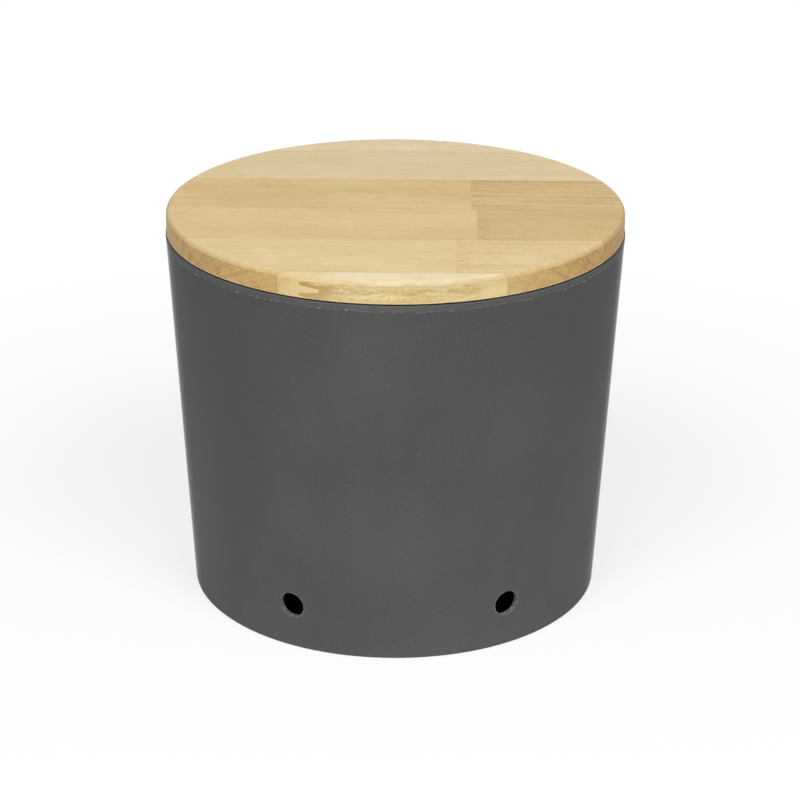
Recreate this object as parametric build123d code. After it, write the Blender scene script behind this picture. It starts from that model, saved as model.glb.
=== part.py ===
from build123d import *
import os
from math import atan, cos, degrees, radians, sin, sqrt

# Potato storage bin: a moulded, vented pot with a loose lid of edge-glued beech staves.
#
# All lengths are in millimetres and all angles in degrees. The origin lies on the pot's axis in the
# plane that its foot ring stands on, +Z is up and the front is -Y.

# Pot: a round shell with one wall thickness, drawn outwards so that it leaves its mould
rim_diameter = 250.0        # over the lip
base_diameter = 227.4       # outside of the wall, carried down to the ground
pot_height = 206.0          # to the seat that the lid rests on
wall_thickness = 3.0
floor_thickness = 3.4
floor_corner_radius = 9.0   # inside, between floor and wall
base_edge_break = 0.8       # chamfer
lip_height = 3.3            # the upright band that ends the leaning wall
lip_projection = 0.15       # how far the lip's lower edge stands out from the wall
lip_edge_break = 0.4        # chamfer
seat_height = 0.6           # how far the seat stands above the lip, which leaves a gap under the lid
seat_width = 1.2
mouth_edge_break = 0.4      # chamfer
foot_ring_width = 6.0
foot_ring_height = 1.5      # the floor's underside clears the ground by this much

# Vents: round holes through the wall, evenly spaced, with the front midway between two of them
vent_count = 6
vent_diameter = 14.2
vent_height = 25.7          # of the holes' centres

# Lid: a board of glued staves, turned round, with a step below that drops into the pot's mouth
lid_edge_thickness = 11.9   # the part of the board that stands above the pot's seat
step_depth = 8.1            # the part that drops into the mouth
lid_setback = 0.45          # of the lid's edge, inside the lip's outer face
step_clearance = 0.8        # all round, between the step and the pot's wall
lid_top_radius = 2.5
lid_edge_break = 0.3        # chamfer on the lid's lower outer edge
step_edge_break = 1.0       # chamfer that leads the step into the mouth
lid_turn = -2.4             # the way the loose lid is put on, turned on the pot's axis

# Staves: rows across the lid, some of them two lengths that are finger-jointed end to end
full_row_count = 4          # rows of the full stave width, between a part row in front and one behind
front_row_depth = 14.6      # of the part row in front, along the lid's Y axis
back_row_depth = 28.17      # and of the one behind
row_1_left_length = 21.71   # from a row's end to its joint; rows are counted from the front
row_2_right_length = 78.09
row_3_right_length = 80.6
row_4_right_length = 83.5
finger_length = 10.0
finger_pitch = 5.9
finger_tip = 1.8            # the blunt end of a finger
finger_count = 3            # through the board's thickness

cones_per_round = 4         # each round of the pot and the lid is turned as this many cones

rim_radius = rim_diameter / 2
base_radius = base_diameter / 2
lip_top = pot_height - seat_height
lip_bottom = lip_top - lip_height
wall_slope = (rim_radius - lip_projection - base_radius) / lip_bottom
floor_top = foot_ring_height + floor_thickness
lid_radius = rim_radius - lid_setback
lid_top = pot_height + lid_edge_thickness
board_thickness = lid_edge_thickness + step_depth
board_bottom = lid_top - board_thickness
stave_width = (2 * lid_radius - front_row_depth - back_row_depth) / full_row_count
first_seam = front_row_depth - lid_radius
seams = [first_seam + number * stave_width for number in range(full_row_count + 1)]
row_edges = [-rim_radius] + seams + [rim_radius]
left_lengths = {1: row_1_left_length}
right_lengths = {2: row_2_right_length, 3: row_3_right_length, 4: row_4_right_length}


def outer_radius(height):
    """Radius of the wall's outer face, under the lip, at a height."""
    return base_radius + wall_slope * height


def inner_radius(height):
    """Radius of the wall's inner face at a height."""
    return outer_radius(height) - wall_thickness


def turned(points):
    """A solid of revolution about Z, from the (radius, height) points of its section."""
    outline = Polyline([Vector(radius, 0, height) for radius, height in points], close=True)
    return revolve(make_face(outline), Axis.Z)


def round_points(centre, round_radius, first_angle, last_angle):
    """(radius, height) points of a round in a section, from one angle about its centre to another."""
    points = []
    for number in range(cones_per_round + 1):
        angle = radians(first_angle + (last_angle - first_angle) * number / cones_per_round)
        points.append((centre[0] + round_radius * cos(angle), centre[1] + round_radius * sin(angle)))
    return points


def pot_shell():
    """The pot before its vents are drilled."""
    seat_radius = inner_radius(pot_height) + seat_width
    foot_inner_radius = base_radius - foot_ring_width
    wall_lean = atan(wall_slope)
    corner_height = floor_top + floor_corner_radius
    corner_centre = (inner_radius(corner_height) - floor_corner_radius / cos(wall_lean), corner_height)
    points = [
        (0, foot_ring_height),
        (foot_inner_radius - foot_ring_height, foot_ring_height),
        (foot_inner_radius, 0),
        (base_radius - base_edge_break, 0),
        (outer_radius(base_edge_break), base_edge_break),
        (outer_radius(lip_bottom), lip_bottom),
        (rim_radius, lip_bottom + lip_projection),
        (rim_radius, lip_top - lip_edge_break),
        (rim_radius - lip_edge_break, lip_top),
        (seat_radius, lip_top),
        (seat_radius, pot_height),
        (inner_radius(pot_height) + mouth_edge_break, pot_height),
        (inner_radius(pot_height - mouth_edge_break), pot_height - mouth_edge_break),
    ]
    points += round_points(corner_centre, floor_corner_radius, -degrees(wall_lean), -90)
    points.append((0, floor_top))
    return turned(points)


def vent_drill(number):
    """The cylinder that one vent takes out of the wall, from the pot's axis outwards."""
    angle = -90 + (number + 0.5) * 360 / vent_count
    length = outer_radius(vent_height) + vent_diameter
    drill = Cylinder(vent_diameter / 2, length, align=(Align.CENTER, Align.CENTER, Align.MIN))
    return Pos(0, 0, vent_height) * Rot(0, 0, angle) * Rot(0, 90, 0) * drill


def pot_body():
    """The pot with its vents drilled."""
    pot = pot_shell()
    for number in range(vent_count):
        pot -= vent_drill(number)
    return pot


def lid_board():
    """The lid in one piece: a disc that rests on the seat and a step that keeps it in place."""
    step_radius = inner_radius(board_bottom) - step_clearance
    points = [
        (0, board_bottom),
        (step_radius - step_edge_break, board_bottom),
        (step_radius, board_bottom + step_edge_break),
        (step_radius, pot_height),
        (lid_radius - lid_edge_break, pot_height),
        (lid_radius, pot_height + lid_edge_break),
    ]
    points += round_points((lid_radius - lid_top_radius, lid_top - lid_top_radius), lid_top_radius, 0, 90)
    points.append((0, lid_top))
    return turned(points)


def finger_joint(face_x):
    """(X, Z) points of a finger joint, from above the board to below it.

    The joint shows on both faces as a straight line at face_x, and on the board's edge as fingers
    that reach from there towards -X.
    """
    tip_x = face_x - finger_length
    points = [(face_x, lid_top + finger_pitch)]
    middle = (lid_top + board_bottom) / 2
    for number in range(finger_count):
        tip_height = middle + ((finger_count - 1) / 2 - number) * finger_pitch
        half_root = (finger_pitch - finger_tip) / 2
        points.append((face_x, tip_height + half_root))
        points.append((tip_x, tip_height + finger_tip / 2))
        points.append((tip_x, tip_height - finger_tip / 2))
        points.append((face_x, tip_height - half_root))
    points.append((face_x, board_bottom - finger_pitch))
    return points


def row_half_length(row):
    """Half the length of a row's longer side, inside the round lid."""
    front, back = row_edges[row - 1:row + 1]
    nearest = max(front, -back, 0)
    return sqrt(lid_radius**2 - nearest**2)


def row_profiles(row):
    """Name endings and (X, Z) outlines of the lengths that a row is made of."""
    above = lid_top + finger_pitch
    below = board_bottom - finger_pitch
    left_end = [(-rim_radius, below), (-rim_radius, above)]
    right_end = [(rim_radius, below), (rim_radius, above)]
    if row in left_lengths:
        joint = finger_joint(left_lengths[row] - row_half_length(row))
    elif row in right_lengths:
        joint = finger_joint(row_half_length(row) - right_lengths[row])
    else:
        return {"": left_end + right_end[::-1]}
    return {"_left": left_end + joint, "_right": right_end + joint}


def row_block(row, profile):
    """The prism of a row that has this (X, Z) outline."""
    front, back = row_edges[row - 1:row + 1]
    outline = Polyline([Vector(x, back, z) for x, z in profile], close=True)
    return extrude(make_face(outline), back - front, dir=(0, -1, 0))


def lid_staves():
    """The lid's pieces by node name, each cut from the board and turned with the lid."""
    board = lid_board()
    staves = {}
    for row in range(1, len(row_edges)):
        for ending, profile in row_profiles(row).items():
            stave = board & row_block(row, profile)
            staves[f"lid_stave_{row}{ending}"] = Rot(0, 0, lid_turn) * stave
    return staves


nodes = {"pot_body": pot_body()}
nodes.update(lid_staves())

os.makedirs("parts", exist_ok=True)
for name, shape in nodes.items():
    export_step(shape, f"parts/{name}.step")
    print(f"{name}: {shape.volume / 1000:.2f} cm3, {len(shape.solids())} solid")
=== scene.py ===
import bpy
from math import atan, cos, pi, radians, sin
from mathutils import Matrix, Vector


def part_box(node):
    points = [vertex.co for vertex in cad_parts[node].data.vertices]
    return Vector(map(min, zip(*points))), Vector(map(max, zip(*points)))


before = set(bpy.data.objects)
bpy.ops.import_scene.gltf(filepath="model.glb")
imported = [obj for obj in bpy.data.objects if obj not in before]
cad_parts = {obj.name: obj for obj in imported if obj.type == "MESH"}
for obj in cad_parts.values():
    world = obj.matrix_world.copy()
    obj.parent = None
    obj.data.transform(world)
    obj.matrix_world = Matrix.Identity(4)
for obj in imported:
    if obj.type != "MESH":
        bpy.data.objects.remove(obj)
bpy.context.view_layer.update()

# The bin's own sizes, in metres, as its solids have them
MM = 0.001
BASE_RADIUS = 0.1137                # the wall's outer face, carried down to the ground
SEAT_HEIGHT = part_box("pot_body")[1].z   # the lid rests here
LIP_TOP = 0.2054
LIP_BOTTOM = 0.2021
WALL_TOP_RADIUS = 0.12485           # at the lip's lower edge
WALL_THICKNESS = 0.003
FLOOR_TOP = 0.0049
FLOOR_CORNER_RADIUS = 0.009
VENT_COUNT = 6
VENT_RADIUS = 0.0071
VENT_HEIGHT = 0.0257                # of the vents' centres
LID_RADIUS = 0.12455
LID_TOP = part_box("lid_stave_5")[1].z
LID_TOP_RADIUS = 0.0025
LID_TURN = radians(-2.4)            # the lid's own X lies along its rows, turned this far on the pot
WALL_SLOPE = (WALL_TOP_RADIUS - BASE_RADIUS) / LIP_BOTTOM

# Camera: distances in metres, small angles in radians, lens in mm
CAMERA_TURN = radians(-1.6)         # round the bin, from its front
CAMERA_DISTANCE = 1.3133
CAMERA_HEIGHT = 0.6492
CAMERA_PITCH = radians(22.593)      # downwards
CAMERA_YAW = 0.0022
CAMERA_ROLL = 0.0047
CAMERA_LENS = 114.06

# Light: two softboxes, left and right of the camera, over a white table in a dim white room
ROOM_LIGHT = 0.22
FLOOR_RADIUS = 8.0
TABLE_EDGE = (0.22, 0.70)           # the floor's light dims from the first radius to the second
SHADOW_SHARE = 0.28                 # how much of the light on the floor the camera sees
SHADOW_EDGE = (0.20, 0.60)          # the shadow fades out from the first radius to the second
SOFTBOX_SIZE = 1.8
SOFTBOX_DISTANCE = 3.2
SOFTBOXES = {                       # name: (turn from the front, elevation, power in watts)
    "softbox_left": (radians(-30), radians(47), 56.4),
    "softbox_right": (radians(31), radians(46), 54.3),
}


def rgb(red, green, blue):
    """A colour that is written with 8-bit values, as the shader takes it."""
    def linear(value):
        value /= 255
        return value / 12.92 if value <= 0.04045 else ((value + 0.055) / 1.055) ** 2.4
    return (linear(red), linear(green), linear(blue), 1)


class Paint:
    """A material or a world under construction: each call adds a node and returns that node's output."""

    def __init__(self, name, library=bpy.data.materials):
        self.result = library.new(name)
        self.result.use_nodes = True
        self.nodes = self.result.node_tree.nodes
        self.links = self.result.node_tree.links
        self.nodes.clear()

    def add(self, kind, inputs, output=0, **settings):
        node = self.nodes.new(kind)
        for setting, value in settings.items():
            setattr(node, setting, value)
        for socket, value in inputs.items():
            if isinstance(value, bpy.types.NodeSocket):
                self.links.new(value, node.inputs[socket])
            else:
                node.inputs[socket].default_value = value
        return node.outputs[output] if node.outputs else None

    def math(self, operation, *values):
        return self.add("ShaderNodeMath", dict(enumerate(values)), operation=operation)

    def vector(self, operation, *values, output="Vector"):
        inputs = dict(enumerate(values))
        return self.add("ShaderNodeVectorMath", inputs, output, operation=operation)

    def length(self, vector):
        return self.vector("LENGTH", vector, output="Value")

    def ramp(self, value, start, end, low=0.0, high=1.0):
        """A smooth change from low to high while value goes from start to end."""
        inputs = {"Value": value, "From Min": start, "From Max": end, "To Min": low, "To Max": high}
        return self.add("ShaderNodeMapRange", inputs, interpolation_type="SMOOTHSTEP")

    def mix(self, factor, first, second, blend="MIX"):
        """A mix of two colours, for which the node has its sockets 6 and 7, and output 2."""
        inputs = {0: factor, 6: first, 7: second}
        return self.add("ShaderNodeMix", inputs, 2, data_type="RGBA", blend_type=blend)

    def noise(self, place, size, seed, detail=2.0, output="Fac"):
        """Noise with features of a size, which is one length or three along X, Y and Z."""
        sizes = (size, size, size) if isinstance(size, (int, float)) else size
        cells = self.vector("DIVIDE", place, sizes)
        inputs = {"Vector": cells, "W": seed, "Scale": 1.0, "Detail": detail}
        return self.add("ShaderNodeTexNoise", inputs, output, noise_dimensions="4D")

    def random(self, number):
        """A random value from 0 to 1 for each whole number."""
        inputs = {"W": self.math("FLOOR", number)}
        return self.add("ShaderNodeTexWhiteNoise", inputs, noise_dimensions="1D")

    def cells(self, place, sizes, seed):
        """Outputs of a Voronoi texture whose cells have these sizes along X, Y and Z."""
        shifted = self.vector("ADD", self.vector("DIVIDE", place, sizes), (seed, seed, seed))
        return self.add("ShaderNodeTexVoronoi", {"Vector": shifted, "Scale": 1.0}).node.outputs

    def split(self, vector):
        """The X, Y and Z outputs of a vector."""
        return self.add("ShaderNodeSeparateXYZ", {0: vector}).node.outputs

    def shown(self):
        """1 for the rays that show the background: from the camera, off a gloss or through glass."""
        path = self.add("ShaderNodeLightPath", {}).node.outputs
        shown = self.math("MAXIMUM", path["Is Camera Ray"], path["Is Glossy Ray"])
        return self.math("MAXIMUM", shown, path["Is Transmission Ray"])

    def finish(self, colour, roughness, height, bump_depth, **settings):
        """The surface: a Principled shader with a bump, and the finished material."""
        bump_inputs = {"Height": height, "Distance": bump_depth, "Strength": 1.0}
        normal = self.add("ShaderNodeBump", bump_inputs)
        inputs = {"Base Color": colour, "Roughness": roughness, "Normal": normal}
        inputs.update(settings)
        shader = self.add("ShaderNodeBsdfPrincipled", inputs)
        self.add("ShaderNodeOutputMaterial", {"Surface": shader})
        return self.result


# The shaders below work in millimetres. Noise lies between 0 and 1 and mostly between 0.3 and 0.7.

TO_MM = (1 / MM, 1 / MM, 1 / MM)
BUMP_DEPTH = 0.02 * MM              # in metres, as the bump takes it
SCUFFED = rgb(150, 149, 146)        # plastic that is scraped or torn
LIP_WANDER = (-0.35, 0.45)          # how far the scuffed line strays from the lip's lower edge
BURR_OFFSET = 0.2                   # from a vent's edge to the middle of its burr
FOOT_WEAR = (0.9, 2.4)              # the heights between which the chips thin out


def worn_lip_with_painted_light(paint, colour, place, scuffs):
    """A slightly paler lip, partly a sanded band and partly a painted highlight where it faces up, with a
    torn thread of whitish scuffs along its lower edge, and painted shade under the lid.
    """
    height = paint.split(place)["Z"]
    wander = paint.noise(place, 14.0, 6.0)
    above_bottom = paint.math("SUBTRACT", height, LIP_BOTTOM / MM)
    above_edge = paint.math("SUBTRACT", above_bottom, paint.ramp(wander, 0.3, 0.7, *LIP_WANDER))
    # Painted highlight: the lip faces up more than the wall, so it is painted paler, on a band that is
    # also sanded paler
    colour = paint.mix(paint.ramp(above_edge, -0.2, 0.4, 0.0, 0.28), colour, rgb(110, 109, 110))
    thread = paint.ramp(paint.math("ABSOLUTE", above_edge), 0.10, 0.60, 1.0, 0.0)
    scraped = paint.math("MULTIPLY", thread, paint.ramp(scuffs, 0.46, 0.60, 0.05, 0.55))
    colour = paint.mix(scraped, colour, SCUFFED)
    torn = paint.math("MULTIPLY", thread, paint.ramp(scuffs, 0.62, 0.68))
    colour = paint.mix(torn, colour, rgb(206, 205, 201))
    # Painted shade: the rim's top under the lid is darkened nearly black, where the gap is in shadow
    painted_gap_shade = paint.ramp(height, LIP_TOP / MM - 0.1, LIP_TOP / MM + 0.05, 0.0, 0.85)
    return paint.mix(painted_gap_shade, colour, rgb(30, 29, 28))


def drilled_vents(paint, colour, place, scuffs):
    """Slightly paler walls in the vents, and a pale broken burr round each of them."""
    x, y, height = paint.split(place)
    half_spacing = pi / VENT_COUNT
    off_vent = paint.math("WRAP", paint.math("ARCTAN2", y, x), half_spacing, -half_spacing)
    from_axis = paint.length(paint.vector("MULTIPLY", place, (1, 1, 0)))
    sideways = paint.math("MULTIPLY", off_vent, from_axis)
    upwards = paint.math("SUBTRACT", height, VENT_HEIGHT / MM)
    from_centre = paint.length(paint.add("ShaderNodeCombineXYZ", {0: sideways, 1: upwards}))
    off_edge = paint.math("SUBTRACT", from_centre, VENT_RADIUS / MM)
    colour = paint.mix(paint.ramp(off_edge, 0.0, 0.2, 0.16, 0.0), colour, rgb(132, 131, 126))
    off_burr = paint.math("ABSOLUTE", paint.math("SUBTRACT", off_edge, BURR_OFFSET))
    burr = paint.ramp(off_burr, 0.1, 0.4, 1.0, 0.0)
    broken = paint.math("MULTIPLY", burr, paint.ramp(scuffs, 0.42, 0.60, 0.05, 0.60))
    return paint.mix(broken, colour, SCUFFED)


def dark_plastic():
    """Matt dark grey plastic: faintly speckled, worn at the lip and the vents, chipped at the foot, with
    a painted highlight on the lip and painted shade under the lid.
    """
    paint = Paint("dark_grey_plastic")
    place = paint.add("ShaderNodeTexCoord", {}, "Object")
    place = paint.vector("MULTIPLY", place, TO_MM)

    cloud = paint.noise(place, (60.0, 60.0, 90.0), 1.0, 3.0)
    grain = paint.noise(place, 0.8, 2.0, 3.0)
    cloudy = paint.ramp(cloud, 0.3, 0.7, 0.34, 0.66)
    grainy = paint.ramp(grain, 0.3, 0.7, -0.16, 0.16)
    colour = paint.mix(paint.math("ADD", cloudy, grainy), rgb(75, 75, 75), rgb(97, 97, 96))
    specks = paint.noise(place, 2.2, 3.0)
    colour = paint.mix(paint.ramp(specks, 0.72, 0.78, 0.0, 0.45), colour, rgb(128, 128, 126))
    pits = paint.noise(place, 3.1, 5.0)
    colour = paint.mix(paint.ramp(pits, 0.73, 0.78, 0.0, 0.5), colour, rgb(48, 48, 49))

    scuffs = paint.noise(place, (1.7, 1.7, 1.1), 4.0, 4.0)
    colour = worn_lip_with_painted_light(paint, colour, place, scuffs)
    colour = drilled_vents(paint, colour, place, scuffs)
    chips = paint.noise(place, (3.0, 3.0, 1.6), 8.0, 3.0)
    foot = paint.ramp(paint.split(place)["Z"], *FOOT_WEAR, 1.0, 0.0)
    chipped = paint.math("MULTIPLY", foot, paint.ramp(chips, 0.64, 0.70))
    colour = paint.mix(chipped, colour, rgb(168, 167, 164))

    # At a glancing angle the skin looks smoother than it does from the front
    facing = paint.add("ShaderNodeLayerWeight", {"Blend": 0.5}, "Facing")
    roughness = paint.ramp(grain, 0.3, 0.7, 0.54, 0.66)
    roughness = paint.math("MULTIPLY", roughness, paint.ramp(facing, 0.78, 0.97, 1.0, 0.44))
    settings = {"IOR": 1.48, "Specular IOR Level": 0.08}
    return paint.finish(colour, roughness, grain, BUMP_DEPTH, **settings)


def spot(paint, colour, place, centre, sizes, strength, tint):
    """A soft-edged spot of another colour."""
    off_centre = paint.vector("DIVIDE", paint.vector("SUBTRACT", place, centre), sizes)
    return paint.mix(paint.ramp(paint.length(off_centre), 0.35, 1.0, strength, 0.0), colour, tint)


def log_frame(paint, place, timber):
    """The log's own frame: X along its pith, with the slow waves that every trunk has."""
    pith_y, pith_z = timber["pith"]
    log = paint.vector("SUBTRACT", place, (0, pith_y, pith_z))
    rotate = {"Vector": log, "Rotation": (0, radians(timber["dip"]), radians(timber["swerve"]))}
    log = paint.add("ShaderNodeVectorRotate", rotate, rotation_type="EULER_XYZ")
    waves = paint.noise(log, (110.0, 30.0, 30.0), timber["seed"], 3.0, "Color")
    waves = paint.vector("SUBTRACT", waves, (0.5, 0.5, 0.5))
    waves = paint.vector("MULTIPLY", waves, (0, timber["waves"], timber["waves"]))
    return paint.vector("ADD", log, waves)


def growth_rings(paint, log, from_pith, timber):
    """Rings that start pale and end in a thin dark line, stronger in some years than in others."""
    rings = paint.math("DIVIDE", from_pith, timber["ring"])
    inputs = {"W": rings, "Scale": 0.43, "Detail": 2.0}
    drift = paint.add("ShaderNodeTexNoise", inputs, noise_dimensions="1D")
    rings = paint.math("ADD", rings, paint.math("MULTIPLY", drift, 3.0))
    share = paint.math("FRACT", rings)
    begun = paint.ramp(share, timber.get("late", LATE_START), 0.93)
    late = paint.math("MULTIPLY", begun, paint.ramp(share, 0.94, 1.0, 1.0, 0.0))
    late = paint.math("MULTIPLY", late, paint.ramp(paint.random(rings), 0.0, 1.0, 0.35, 1.0))
    fade = paint.noise(log, (26.0, 5.0, 5.0), timber["seed"] + 6)
    return paint.math("MULTIPLY", late, paint.ramp(fade, 0.30, 0.60, 0.35, 1.0))


def wood_rays(paint, along, around, from_pith, timber):
    """Rays: short dashes on a face cut along the rings, ribbons on one cut across them."""
    place = paint.add("ShaderNodeCombineXYZ", {0: along, 1: around, 2: from_pith})
    rays = paint.cells(place, (2.6, 0.7, 5.0), timber["seed"])
    ray = paint.ramp(rays["Distance"], 0.15, 0.42, 1.0, 0.0)
    chosen = paint.ramp(paint.split(rays["Color"])["X"], 0.35, 0.75)
    return paint.math("MULTIPLY", ray, chosen)


def dark_dashes(paint, log, timber):
    """A few longer dark dashes along the grain."""
    dashes = paint.cells(log, (17.0, 2.0, 2.0), timber["seed"])
    dash = paint.ramp(dashes["Distance"], 0.08, 0.26, 1.0, 0.0)
    chosen = paint.ramp(paint.split(dashes["Color"])["Y"], 0.70, 0.95)
    return paint.math("MULTIPLY", dash, chosen)


def heart_and_sapwood(paint, colour, place, streaks, timber):
    """A stave cut through its log's border: near-white sapwood on top, torn darker lines under it."""
    lid_x = paint.split(place)["X"]
    height = paint.split(place)["Z"]
    wander = paint.noise(place, (14.0, 14.0, 4.0), timber["seed"] + 8, 4.0)
    border = paint.ramp(wander, 0.3, 0.7, timber["sapwood"] - 1.3, timber["sapwood"] + 1.3)
    below = paint.math("SUBTRACT", border, height)
    left_end = paint.ramp(lid_x, *HEART_LEFT_END, 0.8, 0.0)
    left_tint = paint.mix(paint.ramp(below, -0.6, 0.6), rgb(226, 204, 156), rgb(197, 165, 108))
    colour = paint.mix(left_end, colour, left_tint)
    right_end = paint.ramp(lid_x, *HEART_RIGHT_END, 0.0, 0.75)
    colour = paint.mix(right_end, colour, rgb(238, 224, 172))

    above = paint.ramp(below, -0.9, 0.7, 1.0, 0.0)
    pale = paint.math("MULTIPLY", above, paint.ramp(streaks, 0.35, 0.65, 0.95, 0.60))
    pale = paint.math("MULTIPLY", pale, paint.ramp(lid_x, -37.0, -20.0, 0.15, 1.0))
    sapwood = paint.mix(paint.ramp(below, -3.4, -1.0), rgb(234, 216, 182), rgb(216, 196, 152))
    colour = paint.mix(pale, colour, sapwood)

    cuts = paint.noise(place, (5.0, 5.0, 0.9), timber["seed"] + 9, 3.0)
    off_cut = paint.math("ABSOLUTE", paint.math("SUBTRACT", cuts, 0.5))
    band = paint.math("MULTIPLY", paint.ramp(below, -0.3, 0.6), paint.ramp(below, 2.4, 4.6, 1.0, 0.0))
    band = paint.math("MULTIPLY", band, paint.ramp(lid_x, 40.0, 50.0, 1.0, 0.2))
    torn = paint.math("MULTIPLY", paint.ramp(off_cut, 0.0, 0.05, 0.80, 0.28), band)
    return paint.mix(torn, colour, rgb(186, 150, 94))


def torn_joint(paint, colour, place, timber):
    """Fibres that are torn and reddish beside a finger joint."""
    torn = paint.noise(place, (3.6, 0.7, 0.7), timber["seed"] + 7)
    from_joint = paint.math("SUBTRACT", paint.split(place)["X"], timber["joint"])
    near = paint.ramp(from_joint, 3.0, 11.0, 0.50, 0.0)
    torn = paint.math("MULTIPLY", paint.ramp(torn, 0.50, 0.66), near)
    return paint.mix(torn, colour, rgb(176, 122, 78))


def end_grain(paint, colour, place, around, late, end, timber):
    """Wedges of slightly different tone between thin pale rays, pores and a few reddish stains."""
    seed = timber["seed"]

    def cover(colour, amount, tint):
        return paint.mix(paint.math("MULTIPLY", end, amount), colour, tint)

    wander = paint.noise(place, 6.0, seed + 4, 3.0)
    wedges = paint.math("MULTIPLY_ADD", wander, 1.2, paint.math("DIVIDE", around, 2.3))
    wedge = paint.random(wedges)
    colour = cover(colour, paint.ramp(wedge, 0.2, 0.9, 0.0, 0.30), rgb(170, 126, 76))
    off_middle = paint.math("ABSOLUTE", paint.math("SUBTRACT", paint.math("FRACT", wedges), 0.5))
    broken = paint.ramp(paint.noise(place, 2.0, seed + 5), 0.40, 0.58, 0.0, 0.62)
    pale_ray = paint.math("MULTIPLY", paint.ramp(off_middle, 0.36, 0.46), broken)
    colour = cover(colour, pale_ray, rgb(236, 208, 160))
    colour = cover(colour, paint.math("MULTIPLY", late, 0.30), rgb(160, 116, 68))
    pores = paint.noise(place, 0.5, seed + 4)
    colour = cover(colour, paint.ramp(pores, 0.54, 0.72, 0.0, 0.22), rgb(146, 104, 62))
    stains = paint.noise(place, 3.4, seed + 9, 1.0)
    return cover(colour, paint.ramp(stains, 0.70, 0.78, 0.0, 0.5), rgb(172, 108, 76))


def beech(name, timber, front, back):
    """Oiled beech, cut from a log that lies along X, for the row between two seams."""
    paint = Paint(name)
    place = paint.add("ShaderNodeTexCoord", {}, "Object")
    turn = {"Vector": place, "Rotation": (0, 0, -LID_TURN), "Scale": TO_MM}
    place = paint.add("ShaderNodeMapping", turn)
    seed = timber["seed"]
    log = log_frame(paint, place, timber)
    along, across, up = paint.split(log)
    from_pith = paint.length(paint.vector("MULTIPLY", log, (0, 1, 1)))
    around = paint.math("MULTIPLY", paint.math("ARCTAN2", up, across), timber["radius"])
    late = growth_rings(paint, log, from_pith, timber)

    # Tone, from the light colour (0) to the dark one (1)
    streaks = paint.noise(log, (80.0, 2.2, 2.2), seed + 1, 4.0)
    fibres = paint.noise(log, (9.0, 0.30, 0.30), seed + 2, 3.0)
    flecks = paint.noise(log, (6.0, 0.9, 0.9), seed + 8)
    cloud = paint.noise(log, (48.0, 14.0, 14.0), seed + 3, 3.0)
    tone = paint.math("MULTIPLY_ADD", late, timber["ring_depth"], PLAIN_TONE)
    tone = paint.math("ADD", tone, paint.ramp(streaks, 0.3, 0.7, -timber["streak"], timber["streak"]))
    tone = paint.math("ADD", tone, paint.ramp(fibres, 0.25, 0.75, -0.10, 0.10))
    tone = paint.math("ADD", tone, paint.ramp(flecks, 0.55, 0.70, 0.0, 0.36))
    tone = paint.math("ADD", tone, paint.ramp(flecks, 0.30, 0.44, -0.20, 0.0))
    tone = paint.math("ADD", tone, paint.ramp(cloud, 0.3, 0.7, -0.14, 0.14))
    tone = paint.math("MULTIPLY_ADD", dark_dashes(paint, log, timber), 0.45, tone)
    tone = paint.add("ShaderNodeClamp", {"Value": tone, "Max": 1.4})
    colour = paint.mix(tone, rgb(*timber["light"]), rgb(*timber["dark"]))
    rays = wood_rays(paint, along, around, from_pith, timber)
    colour = paint.mix(paint.math("MULTIPLY", rays, timber["ray"]), colour, rgb(168, 120, 74))

    if "sapwood" in timber:
        colour = heart_and_sapwood(paint, colour, place, streaks, timber)
    if "joint" in timber:
        colour = torn_joint(paint, colour, place, timber)
    for x, y in timber.get("pins", []):
        colour = spot(paint, colour, place, (x, y, LID_TOP / MM), PIN_SIZE, 0.60, rgb(112, 76, 44))
    for knot in timber.get("knots", []):
        colour = spot(paint, colour, place, knot, KNOT_SIZE, 0.38, rgb(176, 108, 74))

    # Painted shade on the rounded top edge tones down the light that falls there; the side soaks up more
    # oil than the sanded top, most of all where the fibres end in it
    normal = paint.split(paint.add("ShaderNodeTexCoord", {}, "Normal"))
    upright = paint.math("ABSOLUTE", normal["Z"])
    off_top = paint.ramp(upright, 0.8, 0.99, 1.0, 0.0)
    painted_rounding_shade = paint.math("MULTIPLY", paint.ramp(upright, 0.2, 0.6), off_top)
    colour = paint.mix(painted_rounding_shade, colour, rgb(243, 239, 230), "MULTIPLY")
    edge = paint.ramp(upright, 0.0, 0.5, 1.0, 0.0)
    colour = paint.mix(edge, colour, rgb(*timber.get("edge", EDGE_TINT)), "MULTIPLY")
    endways = paint.math("ABSOLUTE", normal["X"])
    end = paint.math("MULTIPLY", edge, paint.ramp(endways, 0.28, 0.70))
    colour = paint.mix(end, colour, rgb(249, 235, 214), "MULTIPLY")
    colour = end_grain(paint, colour, place, around, late, end, timber)

    # A painted highlight runs along the lower edge, and glue lines show where a row meets the next
    height = paint.split(place)["Z"]
    painted_lower_edge_highlight = paint.ramp(height, SEAT_HEIGHT / MM + 0.3, SEAT_HEIGHT / MM + 1.1, 0.35, 0.0)
    colour = paint.mix(painted_lower_edge_highlight, colour, rgb(246, 228, 196))
    to_front = paint.math("SUBTRACT", paint.split(place)["Y"], front)
    to_back = paint.math("SUBTRACT", back, paint.split(place)["Y"])
    glue = paint.ramp(paint.math("MINIMUM", to_front, to_back), 0.05, 0.40, 0.28, 0.0)
    colour = paint.mix(glue, colour, rgb(160, 120, 76))

    relief = paint.math("SUBTRACT", fibres, paint.math("MULTIPLY", late, 0.4))
    relief = paint.math("SUBTRACT", relief, paint.math("MULTIPLY", glue, 2.0))
    roughness = paint.ramp(fibres, 0.25, 0.75, 0.44, 0.56)
    settings = {"IOR": 1.45, "Specular IOR Level": 0.25}
    return paint.finish(colour, roughness, relief, BUMP_DEPTH, **settings)


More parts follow.
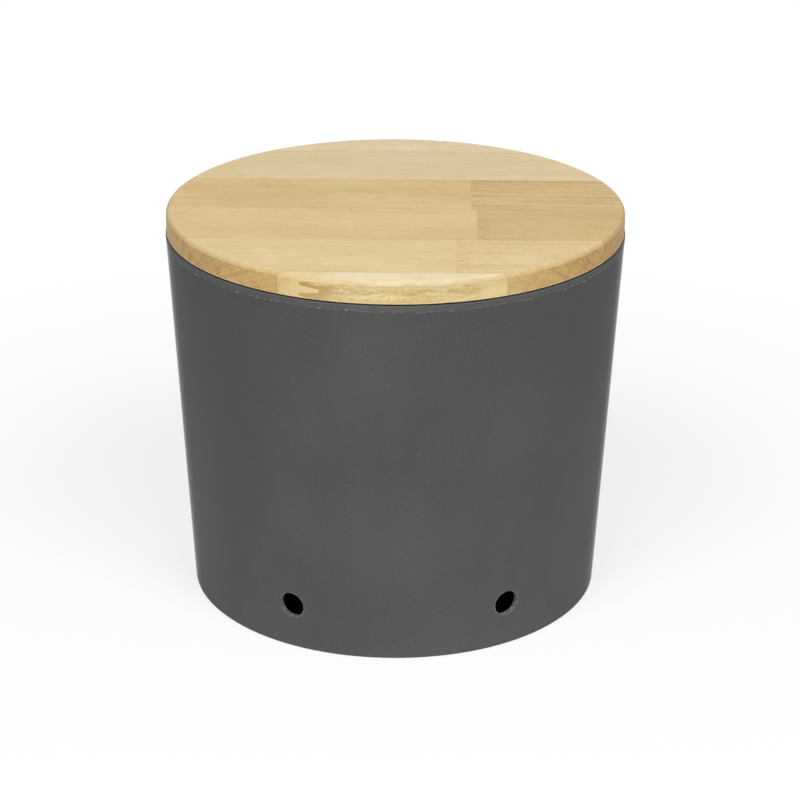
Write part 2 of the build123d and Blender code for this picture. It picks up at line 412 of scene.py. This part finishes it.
# The staves' wood. Lengths are in mm in the lid's own frame, and angles in degrees.
#   light, dark: the colours that the figure lies between
#   pith: (Y, Z) of the log's middle, where X is 0; dip, swerve: how far the log lies off the row
#   waves: how far the log wavers; radius: the distance from the pith at which its rays are spaced
#   ring: a ring's width; ring_depth: how dark its line is; late: the share of a ring before the line
#   streak, ray: strengths; seed: of all its noises
#   edge: what its side is multiplied by, where above 255 makes it lighter
#   sapwood: height of its border; joint: X of its finger joint; pins, knots: their places
FIRST_SEAM = -109.95                # between the first two rows
STAVE_WIDTH = 51.58
PLAIN_TONE = 0.34                   # the tone of wood without figure
LATE_START = 0.55
EDGE_TINT = (254, 249, 236)
HEART_LEFT_END = (-38.0, -24.0)     # along X, where the stave with sapwood changes its tone
HEART_RIGHT_END = (42.0, 50.0)
PIN_SIZE = (0.9, 0.9, 3.0)
KNOT_SIZE = (3.4, 3.4, 4.2)
STAVES = {
    "lid_stave_1_left": dict(
        light=(230, 210, 164), dark=(217, 191, 140), pith=(-90, 150), dip=0.6, swerve=1.0, waves=5,
        radius=60, ring=3.0, ring_depth=0.2, streak=0.10, ray=0.10, seed=3.1, edge=(268, 268, 256)),
    "lid_stave_1_right": dict(
        light=(246, 233, 189), dark=(210, 182, 126), pith=(-142, 262), dip=1.0, swerve=-0.5, waves=12,
        radius=50, ring=4.4, ring_depth=0.45, streak=0.12, ray=0.25, seed=7.7, sapwood=214.5),
    "lid_stave_2_left": dict(
        light=(229, 208, 160), dark=(206, 176, 120), pith=(-24, 150), dip=-0.3, swerve=0.3, waves=8,
        radius=85, ring=4.6, ring_depth=0.22, streak=0.064, ray=0.16, seed=11.3,
        knots=[(-106.5, -64.5, 209.0), (-90.0, -86.0, 209.5)]),
    "lid_stave_2_right": dict(
        light=(230, 209, 161), dark=(202, 168, 113), pith=(-22, 150), dip=0.4, swerve=-0.8, waves=9,
        radius=85, ring=5.0, ring_depth=0.2, streak=0.064, ray=0.24, seed=15.9, joint=31.9),
    "lid_stave_3_left": dict(
        light=(225, 201, 151), dark=(197, 166, 108), pith=(-42, 110), dip=0.5, swerve=3.2, waves=10,
        radius=110, ring=4.6, ring_depth=0.22, streak=0.064, ray=0.16, seed=21.4),
    "lid_stave_3_right": dict(
        light=(215, 187, 135), dark=(189, 154, 98), pith=(-20, 90), dip=0.4, swerve=0.5, waves=8,
        radius=130, ring=6.0, ring_depth=0.12, streak=0.064, ray=0.22, seed=27.2, joint=43.8),
    "lid_stave_4_left": dict(
        light=(222, 197, 145), dark=(194, 160, 101), pith=(22, 95), dip=-0.5, swerve=0.8, waves=10,
        radius=120, ring=5.2, ring_depth=0.22, streak=0.064, ray=0.16, seed=31.5),
    "lid_stave_4_right": dict(
        light=(220, 195, 143), dark=(182, 147, 90), pith=(150, 180), dip=0.3, swerve=1.6, waves=9,
        radius=130, ring=3.7, ring_depth=1.45, late=0.66, streak=0.096, ray=0.14, seed=36.8, joint=41.0),
    "lid_stave_5": dict(
        light=(227, 207, 164), dark=(208, 182, 132), pith=(70, 100), dip=0.4, swerve=-0.5, waves=9,
        radius=120, ring=5.5, ring_depth=0.12, streak=0.064, ray=0.16, seed=42.6),
    "lid_stave_6": dict(
        light=(231, 215, 176), dark=(210, 186, 138), pith=(150, 190), dip=0.3, swerve=0.6, waves=6,
        radius=60, ring=4.6, ring_depth=0.3, streak=0.12, ray=0.16, seed=48.3,
        pins=[(8.6, 98.2), (30.5, 97.0), (46.2, 103.8)]),
}


def shade_as_turned(mesh, rounds, walls=()):
    """Shades a turned piece as its exact surfaces, which its triangles only come near to.

    Rounds are (radius, height, radius of the round, side) of each rounded edge's centre, and walls are
    (radius on the ground, side) of each leaning wall. A side is 1 where the surface looks outwards and
    -1 where it looks inwards. A corner of a triangle on any other turned surface gets the triangle's
    own lean, turned to where it lies.
    """
    near = 0.02 * MM
    most_off = cos(radians(12))
    normals = [None] * len(mesh.loops)
    for polygon in mesh.polygons:
        points = [mesh.vertices[number].co for number in polygon.vertices]
        section = [Vector((point.to_2d().length, point.z)) for point in points]     # (radius, height)
        outwards = [Vector((point.x, point.y, 0)).normalized() for point in points]
        middle = Vector((polygon.center.x, polygon.center.y, 0)).normalized()
        lean_out = polygon.normal.dot(middle)
        found = [(lean_out * out + Vector((0, 0, polygon.normal.z))).normalized() for out in outwards]
        for centre_radius, centre_height, round_radius, side in rounds:
            arms = [place - Vector((centre_radius, centre_height)) for place in section]
            if max(abs(arm.length - round_radius) for arm in arms) < near:
                found = [(arm.x * out + Vector((0, 0, arm.y))) * side for arm, out in zip(arms, outwards)]
        if min(normal.normalized().dot(polygon.normal) for normal in found) < most_off:
            found = [polygon.normal] * len(points)
        for foot_radius, side in walls:
            off_wall = [place.x - foot_radius - WALL_SLOPE * place.y for place in section]
            if max(off_wall) < near and min(off_wall) > -near:
                found = [(out - Vector((0, 0, WALL_SLOPE))) * side for out in outwards]
        for loop, normal in zip(polygon.loop_indices, found):
            normals[loop] = normal.normalized()
    mesh.polygons.foreach_set("use_smooth", [True] * len(mesh.polygons))
    mesh.normals_split_custom_set(normals)


def shade_vents(mesh):
    """Shades the vents' walls as round ones."""
    near = 0.03 * MM
    most_lean = 0.2                 # of a triangle's normal along the vent
    vent_centre = Vector((0, 0, VENT_HEIGHT))
    normals = [tuple(corner.vector) for corner in mesh.corner_normals]
    for number in range(VENT_COUNT):
        angle = radians(-90 + (number + 0.5) * 360 / VENT_COUNT)
        along = Vector((cos(angle), sin(angle), 0))
        for polygon in mesh.polygons:
            if polygon.center.dot(along) < 0 or abs(polygon.normal.dot(along)) > most_lean:
                continue
            arms = [mesh.vertices[vertex].co - vent_centre for vertex in polygon.vertices]
            arms = [arm - along * arm.dot(along) for arm in arms]
            if max(abs(arm.length - VENT_RADIUS) for arm in arms) < near:
                for loop, arm in zip(polygon.loop_indices, arms):
                    normals[loop] = tuple(-arm.normalized())
    mesh.normals_split_custom_set(normals)


def dress(node, material):
    """Gives a CAD node its finish."""
    node.data.materials.clear()
    node.data.materials.append(material)


def dress_pot():
    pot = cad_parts["pot_body"]
    corner_height = FLOOR_TOP + FLOOR_CORNER_RADIUS
    inner_radius = BASE_RADIUS + WALL_SLOPE * corner_height - WALL_THICKNESS
    corner_radius = inner_radius - FLOOR_CORNER_RADIUS / cos(atan(WALL_SLOPE))
    rounds = [(corner_radius, corner_height, FLOOR_CORNER_RADIUS, -1)]
    walls = [(BASE_RADIUS, 1), (BASE_RADIUS - WALL_THICKNESS, -1)]
    shade_as_turned(pot.data, rounds, walls)
    shade_vents(pot.data)
    dress(pot, dark_plastic())


def dress_lid():
    rounds = [(LID_RADIUS - LID_TOP_RADIUS, LID_TOP - LID_TOP_RADIUS, LID_TOP_RADIUS, 1)]
    for name, timber in STAVES.items():
        row = int(name.split("_")[2])
        back = FIRST_SEAM + (row - 1) * STAVE_WIDTH
        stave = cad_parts[name]
        shade_as_turned(stave.data, rounds)
        dress(stave, beech(name.replace("lid", "beech"), timber, back - STAVE_WIDTH, back))


def floor_material():
    """A white table with the bin's shadow: white to the eye and in reflections, dimmer as a light."""
    paint = Paint("studio_floor")
    shown = paint.shown()
    reach = paint.length(paint.add("ShaderNodeTexCoord", {}, "Object"))
    dimmed = paint.mix(paint.ramp(reach, *TABLE_EDGE), rgb(236, 236, 236), rgb(130, 130, 130))
    colour = paint.mix(shown, dimmed, rgb(255, 255, 255))
    matt = paint.add("ShaderNodeBsdfDiffuse", {"Color": colour})
    white = paint.add("ShaderNodeEmission", {"Color": (1, 1, 1, 1), "Strength": 1.0})
    whiteness = paint.ramp(reach, *SHADOW_EDGE, 1 - SHADOW_SHARE, 1.0)
    whiteness = paint.math("MULTIPLY", whiteness, shown)
    surface = paint.add("ShaderNodeMixShader", {0: whiteness, 1: matt, 2: white})
    paint.add("ShaderNodeOutputMaterial", {"Surface": surface})
    return paint.result


def build_floor():
    bpy.ops.mesh.primitive_circle_add(vertices=96, radius=FLOOR_RADIUS, fill_type="NGON")
    floor = bpy.context.object
    floor.name = "floor"
    floor.data.materials.append(floor_material())


def build_room():
    """A white room: white to the eye and in reflections, dimmer as a light."""
    paint = Paint("room", bpy.data.worlds)
    strength = paint.ramp(paint.shown(), 0.0, 1.0, ROOM_LIGHT, 1.0)
    background = paint.add("ShaderNodeBackground", {"Color": (1, 1, 1, 1), "Strength": strength})
    paint.add("ShaderNodeOutputWorld", {"Surface": background})
    bpy.context.scene.world = paint.result


def build_softboxes():
    aim = Vector((0, 0, LIP_TOP / 2))
    for name, (turn, elevation, power) in SOFTBOXES.items():
        light = bpy.data.lights.new(name, "AREA")
        light.shape = "SQUARE"
        light.size = SOFTBOX_SIZE
        light.energy = power
        lamp = bpy.data.objects.new(name, light)
        bpy.context.scene.collection.objects.link(lamp)
        away = Vector((sin(turn) * cos(elevation), -cos(turn) * cos(elevation), sin(elevation)))
        lamp.location = aim + away * SOFTBOX_DISTANCE
        lamp.rotation_euler = away.to_track_quat("Z", "Y").to_euler()


def build_camera():
    data = bpy.data.cameras.new("camera")
    data.lens = CAMERA_LENS
    camera = bpy.data.objects.new("camera", data)
    bpy.context.scene.collection.objects.link(camera)
    place = Vector((sin(CAMERA_TURN), -cos(CAMERA_TURN), 0)) * CAMERA_DISTANCE
    place.z = CAMERA_HEIGHT
    heading = Matrix.Rotation(CAMERA_TURN - CAMERA_YAW, 4, "Z")
    tilt = Matrix.Rotation(pi / 2 - CAMERA_PITCH, 4, "X")
    roll = Matrix.Rotation(CAMERA_ROLL, 4, "Z")
    camera.matrix_world = Matrix.Translation(place) @ heading @ tilt @ roll
    bpy.context.scene.camera = camera


build_camera()
build_room()
build_softboxes()
build_floor()
dress_pot()
dress_lid()
bpy.context.scene.view_settings.view_transform = "Standard"

bpy.context.view_layer.update()
